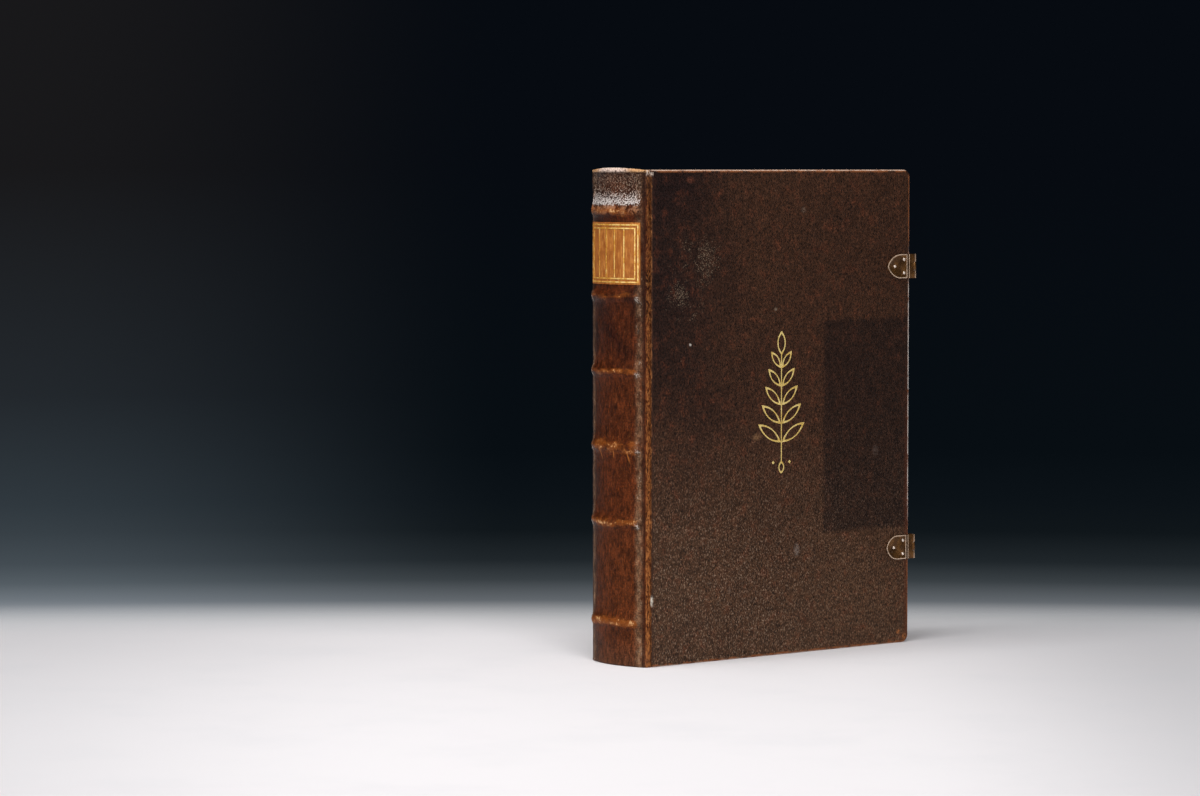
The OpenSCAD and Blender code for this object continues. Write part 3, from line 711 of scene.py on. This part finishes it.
# the rounded spine: sizes in metres, bands and their wear from the tail up
spine = {
    "radius": 0.065, "flat": 0.0025, "halfThick": 0.0296, "shoulderY": 0.0257,
    "bands": (0.030, 0.099, 0.1507, 0.2023, 0.254, 0.312),
    "bandWear": ((0.0054, 0.96), (0.0056, 0.77), (0.0098, 0.70), (0.0036, 0.80), (0.0042, 0.58), (0.0060, 0.68)),
    "bandRise": 0.0019, "crest": 0.0048, "skirt": 0.0085, "headSkirt": 0.0160, "headLean": 0.0007,
    "dish": 0.00055, "valley": 0.00045, "capDepth": 0.0048, "capRise": 0.0014, "row": 0.0010,
    "leather": 0.0009,
}
shoulderOut = spine["radius"] + 0.0003 - 0.004
spineAngle = math.asin(spine["shoulderY"] / shoulderOut)
spineX = jointX - spine["flat"] + shoulderOut * math.cos(spineAngle)

frontLeather = makeCoverLeather("frontCoverLeather", True)
backLeather = makeCoverLeather("backCoverLeather", False)
spineLeather = makeSpineLeather()
jointLeather = makeJointLeather()
labelLeather = makeLabelLeather()
coverGold = makeGold("coverGold", ("#e2bc60", "#f6dc8c", "#8a6a3c"), 0.2, 0.004, 0.40, 0.0)
labelGold = makeGold("labelGold", ("#d4972f", "#f6d684", "#a5692c"), 0.25, 0.003, 0.46, 0.10)
plateBrass = makeBrass("plateBrass", (frontLow.y - 0.001, backHigh.y + 0.001))
armBrass = makeBrass("armBrass", None)
rivetBrass = makeRivetMetal()
pageEdges = makePageEdges()
endpaper = makeEndpaper()
linen = makeCloth("linen", ("#8f8062", "#c0b08c"), 0.0006)
cordHemp = makeCloth("hempCord", ("#7c6a45", "#b09a6c"), 0.0008)
endbandSilk = makeWindings()
boardStock = makeCloth("pasteboard", ("#7c6a4b", "#9c8660"), 0.004)
print("materials made")


def spineRows():
    # inset from the outside and height of each row, from inside the tail over the wall to inside the head
    height, depth = bookHeight, spine["capDepth"]
    tail = [
        (depth, 0.0045), (depth, 0.0012), (depth - 0.0004, 0.0004), (depth - 0.0011, 0.0),
        (0.0013, 0.0), (0.0005, 0.0003), (0.0001, 0.0008)]
    count = round((height - 0.004) / spine["row"])
    wall = [(0.0, 0.0016 + (height - 0.0036) * i / count) for i in range(count + 1)]
    top = height + spine["capRise"]
    head = [
        (0.0, height - 0.0006), (0.00015, top - 0.0008), (0.0006, top - 0.0002), (0.0013, top),
        (depth / 2, top + 0.0001), (depth - 0.0013, top), (depth - 0.0005, top - 0.0004),
        (depth, top - 0.0012), (depth, height - 0.0045)]
    return tail + wall + head


def spineRise(z, sector, place):
    # how far the leather stands over the round back, and how worn it is there
    bands = spine["bands"]
    index = min(range(len(bands)), key=lambda i: abs(z - bands[i]))
    lump = noise.noise(place * 160) * 0.35 + noise.noise(place * 420) * 0.18
    away = z - bands[index] + noise.noise(place * 90) * 0.0007
    middle = 1 - smooth(sector, 0.86, 1.0)
    crest = bump(away, spine["crest"])
    if index == len(bands) - 1 and away > 0:
        swell = 0.42 * crest + 0.58 * bump(away, spine["headSkirt"])
    else:
        swell = 0.62 * crest + 0.38 * bump(away, spine["skirt"])
    inLabel = smooth(z, 0.254, 0.262) * (1 - smooth(z, 0.304, 0.312))
    panel = smooth(abs(away), 0.004, 0.016) * smooth(z, 0.0, 0.012) * (1 - smooth(z, bookHeight - 0.010, bookHeight))
    sunk = spine["dish"] * panel * (1 - inLabel) * (1 - smooth(sector, 0.80, 1.0))
    leaning = smooth(z, 0.318, 0.331) * (1 - smooth(z, 0.334, 0.340))
    sunk += spine["headLean"] * leaning * (1 - smooth(sector, 0.82, 1.0))
    gutter = spine["valley"] * bump(sector - 0.97, 0.09) * (1 - crest)
    gutter *= 1 - smooth(z, bookHeight - 0.018, bookHeight - 0.008)
    pucker = 0.00018 * noise.noise(Vector((0, place.y * 70, place.z * 140))) * smooth(sector, 0.5, 0.9)
    rise = spine["bandRise"] * swell * middle * (1 + 0.35 * lump) - sunk - gutter
    rise += (pucker + 0.00010 * lump) * (1 - inLabel)
    width, strength = spine["bandWear"][index]
    worn = strength * bump(away + noise.noise(place * 45) * 0.0012, width) * (1 - smooth(sector, 0.82, 0.96))
    return rise, worn


def makeSpineSkin():
    mesh = bmesh.new()
    up = (0, 0, 1)
    rows = spineRows()
    turn = math.pi / 2 - spineAngle
    start = mesh.verts.new((jointX - 0.00015, middleY - spine["halfThick"], 0))

    def follow(geom, **how):
        return bmesh.ops.spin(mesh, geom=geom, axis=up, **how)["geom_last"]

    last = follow([start], dvec=(-(spine["flat"] - 0.00015) / 3, 0, 0), angle=0, steps=3)
    last = follow(last, cent=(jointX - spine["flat"], middleY - spine["shoulderY"], 0), angle=-turn, steps=12)
    last = follow(last, cent=(spineX, middleY, 0), angle=-2 * spineAngle, steps=66)
    last = follow(last, cent=(jointX - spine["flat"], middleY + spine["shoulderY"], 0), angle=-turn, steps=12)
    follow(last, dvec=((spine["flat"] - 0.00015) / 3, 0, 0), angle=0, steps=3)
    bmesh.ops.spin(mesh, geom=mesh.verts[:] + mesh.edges[:], axis=up, dvec=(0, 0, 1), angle=0, steps=len(rows) - 1)

    layers = {name: mesh.verts.layers.float.new(name) for name in spineMasks}
    for vert in mesh.verts:
        row = round(vert.co.z)
        inset, z = rows[row]
        edge = 1 if vert.co.y > middleY else -1
        fromCentre = Vector((vert.co.x - spineX, vert.co.y - middleY, 0))
        sector = math.atan2(abs(fromCentre.y), -fromCentre.x) / spineAngle
        shoulderY = middleY + edge * spine["shoulderY"]
        fromShoulder = Vector((vert.co.x - jointX + spine["flat"], vert.co.y - shoulderY, 0))
        theta = 0.0
        if sector < 0.999:
            outward = fromCentre.normalized()
        elif vert.co.x < jointX - spine["flat"]:
            outward = fromShoulder.normalized()
            theta = math.degrees(math.atan2(abs(fromShoulder.y), -fromShoulder.x))
        else:
            outward = Vector((0, edge, 0))
            theta = 90.0
        rise, worn = spineRise(z, min(1.0, sector), Vector((vert.co.x, vert.co.y, z)))
        if inset > 0 or z > bookHeight - 0.001:
            rise *= 0.3
        acrossHead = (vert.co.y - middleY) / spine["halfThick"]
        if z > bookHeight - 0.0008:
            z = bookHeight - 0.0008 + (z - bookHeight + 0.0008) * (1 - 0.75 * acrossHead ** 2)
        if z > bookHeight - 0.002:  # the head dips into a notch beside the joint
            z -= 0.0030 * smooth(vert.co.x, jointX - 0.0030, jointX + 0.0006)
        narrow = 1 - 0.45 * smooth(sector, 0.85, 1.0)
        vert[layers["wear"]] = worn if inset == 0 else 0.0
        vert[layers["ridge"]] = smooth(theta, 50, 66)
        # where the painted shade in the gutter goes
        vert[layers["valley"]] = smooth(sector, 0.94, 1.0) * (1 - smooth(theta, 42, 56))
        vert[layers["cap"]] = smooth(rows[row][1], bookHeight - 0.0018, bookHeight - 0.0008)
        # where the painted sheen and glints beside the shoulders go
        vert[layers["side"]] = bump(sector - 0.90, 0.17) * (1 - smooth(theta, 30, 45))
        vert[layers["cross"]] = -edge * min(1.0, sector)
        vert[layers["back"]] = 1 - smooth(sector, 0.86, 0.99)
        # where the painted glints under the band ends go
        underBand = max(bump(z - band + 0.0022, 0.0026) for band in spine["bands"][1:5])
        vert[layers["bandEndGlint"]] = bump(sector - 0.86, 0.08) * underBand
        vert.co = Vector((vert.co.x, vert.co.y, z)) + outward * (rise - inset * narrow)
    skin = finishMesh(mesh, "spineSkin", spineLeather)
    thicken(skin, spine["leather"], -1)
    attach(skin, "book_block")
    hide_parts("spine_leather")


makeSpineSkin()
print("spine leather made")


# the leather over the joints and the paper folded into them, from the joint line outwards
joint = {
    "reach": 0.0009, "spineFace": 0.02963, "coverFace": 0.03004, "thick": 0.00004, "nick": 0.0018,
    "innerFace": 0.0239, "turnIn": 0.0162, "leafEnd": 0.0042, "foldFace": 0.0290,
    "paper": 0.00003, "foldRadius": 0.00009, "foldLift": 0.00006, "foldReach": 0.0016,
}


def sheetGrid(across, up):
    mesh = bmesh.new()
    bmesh.ops.create_grid(mesh, x_segments=across, y_segments=up, size=0.5)
    return mesh


def makeJointStrip(name, side):
    mesh = sheetGrid(10, 170)
    toCover = mesh.verts.layers.float.new("toCover")
    for vert in mesh.verts:
        across, up = vert.co.x * 2, vert.co.y + 0.5
        z = joint["nick"] + up * (bookHeight - 2 * joint["nick"])
        face = joint["spineFace"] + (joint["coverFace"] - joint["spineFace"]) * smooth(across, -0.4, 0.7)
        face += 0.00003 * noise.noise(Vector((across * 2, side, z * 260)))
        vert[toCover] = across * 0.5 + 0.5
        vert.co = Vector((jointX + across * joint["reach"], middleY + side * face, z))
    strip = finishMesh(mesh, name, jointLeather)
    thicken(strip, joint["thick"], 0)
    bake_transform(strip)


def makeHingePaper(name, side):
    # a fold: down the shoulder, round beside the joint line and back up the edge of the cover, then onto its inside
    mesh = sheetGrid(36, 60)
    inner, outer = joint["innerFace"], joint["foldFace"]
    radius, lift = joint["foldRadius"], joint["foldLift"]
    long, short = 0.42, 0.08  # shares of the sheet: each side of the fold, its bend and its end
    for vert in mesh.verts:
        along, up = vert.co.x + 0.5, vert.co.y + 0.5
        if along < long:
            x, y = -radius, inner - 0.00015 + (outer - inner) * along / long
        elif along < long + short:
            turn = (along - long) / short * math.pi
            x, y = -radius * math.cos(turn), outer + radius * math.sin(turn)
        elif along < 1 - short:
            x, y = radius, outer - (outer - inner - lift) * (along - long - short) / long
        else:
            x, y = radius + joint["foldReach"] * (along + short - 1) / short, inner + lift
        margin = joint["leafEnd"] + (joint["turnIn"] - joint["leafEnd"]) * smooth(along, 0.30, 0.60)
        vert.co = Vector((jointX + x, middleY + side * y, margin + up * (bookHeight - 2 * margin)))
    fold = finishMesh(mesh, name, endpaper)
    thicken(fold, joint["paper"], 0)
    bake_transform(fold)


makeJointStrip("frontJointLeather", -1)
makeJointStrip("backJointLeather", 1)
makeHingePaper("frontHingePaper", -1)
makeHingePaper("backHingePaper", 1)
print("joints made")


# the leaves: half thickness between the covers and at the shoulders, margins inside the covers, uneven edges
pages = {
    "half": 0.0237, "shoulderHalf": 0.0276, "square": 0.004, "hollow": 0.008, "inset": 0.00186,
    "unevenFore": 0.00030, "unevenHead": 0.00022, "lengthwise": 44, "columns": 190, "rows": 26,
    # columns of the grid between the back and the joint; where the round back ends
    "shoulders": 8, "roundHalf": 0.0252,
}


def raggedness(leaf, coarse, fine):
    return noise.noise(Vector((leaf * 900, *coarse))) * 0.6 + noise.noise(Vector((leaf * 2600, *fine))) * 0.4


def makePageBlock():
    half, hollow, square = pages["half"], pages["hollow"], pages["square"]
    lengthwise, shoulders, roundHalf = pages["lengthwise"], pages["shoulders"], pages["roundHalf"]
    mesh = sheetGrid(lengthwise, pages["columns"])
    foreRadius = (half ** 2 + hollow ** 2) / (2 * hollow)
    foreCentre = foreX - square - hollow + foreRadius
    backRadius = spine["radius"] - pages["inset"]
    leafLayer = mesh.verts.layers.float.new("leaf")
    outerLayer = mesh.verts.layers.float.new("outer")
    for vert in mesh.verts:
        column, across = round((vert.co.x + 0.5) * lengthwise), vert.co.y * 2
        fore = foreCentre - math.sqrt(foreRadius ** 2 - (across * half) ** 2)
        if column < shoulders:
            wide = across * pages["shoulderHalf"]
            back = spineX - math.sqrt(backRadius ** 2 - min(abs(wide), roundHalf) ** 2)
            back += max(0.0, abs(wide) - roundHalf) ** 1.6 * 4.0
            x, y = back + (jointX - 0.0003 - back) * column / (shoulders - 1), wide
        else:
            share = (column - shoulders) / (lengthwise - shoulders)
            x, y = jointX + 0.0001 + (fore - jointX - 0.0001) * share, across * half
        vert[leafLayer] = across * half
        vert[outerLayer] = 1.0 if abs(across) > 0.999 else 0.0
        vert.co = Vector((x, middleY + y, square))
    lower = mesh.faces[:]
    grown = bmesh.ops.extrude_face_region(mesh, geom=lower, use_keep_orig=True)["geom"]
    raised = [part for part in grown if isinstance(part, bmesh.types.BMVert)]
    bmesh.ops.translate(mesh, verts=raised, vec=(0, 0, bookHeight - 2 * square))
    uprights = [edge for edge in mesh.edges if abs(edge.verts[0].co.z - edge.verts[1].co.z) > 0.1]
    bmesh.ops.subdivide_edges(mesh, edges=uprights, cuts=pages["rows"], use_grid_fill=True)
    for vert in mesh.verts:
        leaf, z = vert[leafLayer], vert.co.z
        inner = 1.0 - smooth(abs(leaf), half - 0.0008, half)
        if vert.co.x > foreX - square - hollow - 0.001:
            vert.co.x += raggedness(leaf, (0, z * 3), (0, z * 7)) * pages["unevenFore"] * inner
        if z < 0.01 or z > bookHeight - 0.01:
            ragged = raggedness(leaf, (vert.co.x * 4, z), (vert.co.x * 9, z))
            vert.co.z += (ragged - 0.5) * pages["unevenHead"] * inner * (1 if z > 0.1 else -1)
    block = finishMesh(mesh, "pageBlock", pageEdges)
    splitEdges(block, 40)
    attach(block, "book_block")
    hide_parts("text_block")


makePageBlock()
print("leaves made")


# the parts of the frame that stay as they are, with their finishes
finishes = {
    "spine_lining": linen, "head_band": endbandSilk, "tail_band": endbandSilk,
    "spine_label": labelLeather, "label_gilding": labelGold, "cover_gilding": coverGold,
    "front_board": boardStock, "front_leather": frontLeather, "front_pastedown": endpaper,
    "back_board": boardStock, "back_leather": backLeather, "back_pastedown": endpaper,
}
for number in range(1, len(spine["bands"]) + 1):
    finishes[f"band_cord_{number}"] = cordHemp
for name, material in finishes.items():
    dressNode(name, material)
for place in ("upper", "lower"):
    for part in ("hinge_rivets", "catch_rivets", "hinge_pin"):
        dressNode(f"{place}_{part}", rivetBrass)
    for part, brass in (("hinge_plate", plateBrass), ("catch_plate", plateBrass), ("clasp", armBrass)):
        dressNode(f"{place}_{part}", brass, brassLook["rounding"])
print("frame dressed")


# floor, backdrop, lamps and camera
studio = {
    "camera": (-1.8541, -2.1276, 0.3407), "yaw": 38.86, "pitch": 3.28, "lens": 120,
    "floor": "#f6f2f3", "floorReach": 3.0,
    "lamps": {
        "overhead": {"place": (-0.50, -0.12, 1.40), "aim": (0.0, 0.0, 0.0), "size": (0.8, 0.8), "power": 13.5},
        "left": {"place": (-1.90, 0.28, 0.62), "aim": (0.0, 0.0, 0.30), "size": (0.45, 1.1), "power": 6.2},
        "front": {"place": (-1.20, -2.20, 1.50), "aim": (0.0, 0.0, 0.15), "size": (1.1, 1.0), "power": 34},
    },
    # what the camera sees round the book: tones by the height of the line of sight, from under the horizon to level
    "backdrop": (
        (0.00, "#cfcdce"), (0.05, "#d6d4d5"), (0.17, "#e6e3e5"), (0.22, "#e4e1e3"), (0.266, "#c6c8c9"),
        (0.297, "#a9acae"), (0.328, "#62676c"), (0.36, "#393f43"), (0.39, "#20262a"), (0.437, "#10161a"),
        (0.484, "#0c1217"), (0.562, "#080e13"), (1.0, "#070b11")),
    "haze": ((0.0, "#55585a"), (0.30, "#454c52"), (0.48, "#2d3439"), (0.65, "#202326"), (1.0, "#15120f")),
}


def toneRamp(value, stops):
    node = nodeFor("ShaderNodeValToRGB", {"Fac": value})
    elements = node.color_ramp.elements
    while len(elements) < len(stops):
        elements.new(0.5)
    for index, (place, tone) in enumerate(stops):
        elements[index].position = place
    for index, (place, tone) in enumerate(stops):
        elements[index].color = paint(tone)
    return node.outputs[0]


def lineOfView(yaw):  # level directions along the camera's view and across it
    return (math.sin(yaw), math.cos(yaw), 0), (math.cos(yaw), -math.sin(yaw), 0)


def alongAxis(vector, axis):
    return vectorMath("DOT_PRODUCT", {0: vector, 1: axis}, "Value")


def makeFloor():
    mesh = bmesh.new()
    bmesh.ops.create_grid(mesh, x_segments=8, y_segments=8, size=studio["floorReach"])
    material, shader, coords = newMaterial("floorPaper")
    ahead, right = lineOfView(math.radians(studio["yaw"]))
    along, across = alongAxis(coords, ahead), alongAxis(coords, right)
    shade = scaleAdd(fade(across, -0.20, -0.55), 0.30, times(fade(across, 0.05, 0.30), 0.42))
    color = mixColor(shade, paint(studio["floor"]), paint("#9c9ea2"))
    paper = cloud(coords, 0.11, 4.0, 0.6)
    color = coat(color, times(fade(paper, 0.45, 0.75), 0.10), "#c9cdd2")
    fillInputs(shader, {"Base Color": color, "Roughness": 0.7, "Specular IOR Level": 0.2})
    tree = shader.id_data
    clear = addNode(tree, "ShaderNodeBsdfTransparent")
    away = vectorMath("LENGTH", {0: coords}, "Value")
    # far off the floor gives way to the backdrop
    gone = larger(fade(along, 0.06, 0.34), fade(away, 0.9, 2.4))
    both = addNode(tree, "ShaderNodeMixShader", {0: gone, 1: shader.outputs[0], 2: clear.outputs[0]})
    fillInputs(tree.nodes["Material Output"], {"Surface": both.outputs[0]})
    finishMesh(mesh, "floor", material)


def makeWorld():
    world = bpy.data.worlds.new("studio")
    bpy.context.scene.world = world
    world.use_nodes = True
    tree = world.node_tree
    tree.nodes.clear()
    sight = addNode(tree, "ShaderNodeTexCoord").outputs["Generated"]
    level = scaleAdd(alongAxis(sight, (0, 0, 1)), 6.25, 1.0)
    across = alongAxis(sight, lineOfView(math.radians(studio["yaw"]))[1])
    tone = toneRamp(level, studio["backdrop"])
    haze = mixColor(fade(across, -0.02, -0.15), paint("#000000"), toneRamp(level, studio["haze"]))
    tone = mixColor(1.0, tone, haze, "ADD")
    seen = addNode(tree, "ShaderNodeLightPath").outputs
    plain = larger(seen["Is Camera Ray"], larger(seen["Is Glossy Ray"], seen["Is Transmission Ray"]))
    backdrop = addNode(tree, "ShaderNodeBackground", {"Color": tone, "Strength": 1.0})
    ambient = addNode(tree, "ShaderNodeBackground", {"Color": paint("#e8e8ee"), "Strength": 0.20})
    both = addNode(tree, "ShaderNodeMixShader", {0: plain, 1: ambient.outputs[0], 2: backdrop.outputs[0]})
    addNode(tree, "ShaderNodeOutputWorld", {"Surface": both.outputs[0]})


def makeLamps():
    for name, lamp in studio["lamps"].items():
        data = bpy.data.lights.new(name, "AREA")
        data.shape = "RECTANGLE"
        data.size, data.size_y = lamp["size"]
        data.energy = lamp["power"]
        light = bpy.data.objects.new(name, data)
        light.location = lamp["place"]
        light.rotation_mode = "QUATERNION"
        light.rotation_quaternion = (Vector(lamp["aim"]) - Vector(lamp["place"])).to_track_quat("-Z", "Y")
        light.visible_camera = False
        bpy.context.scene.collection.objects.link(light)


def makeCamera():
    data = bpy.data.cameras.new("camera")
    data.lens = studio["lens"]
    data.sensor_width = 36
    camera = bpy.data.objects.new("camera", data)
    camera.location = studio["camera"]
    camera.rotation_euler = (math.radians(90 - studio["pitch"]), 0, math.radians(-studio["yaw"]))
    bpy.context.scene.collection.objects.link(camera)
    bpy.context.scene.camera = camera


makeFloor()
makeWorld()
makeLamps()
makeCamera()
bpy.context.scene.view_settings.view_transform = "Standard"
print("studio made")

bpy.context.view_layer.update()
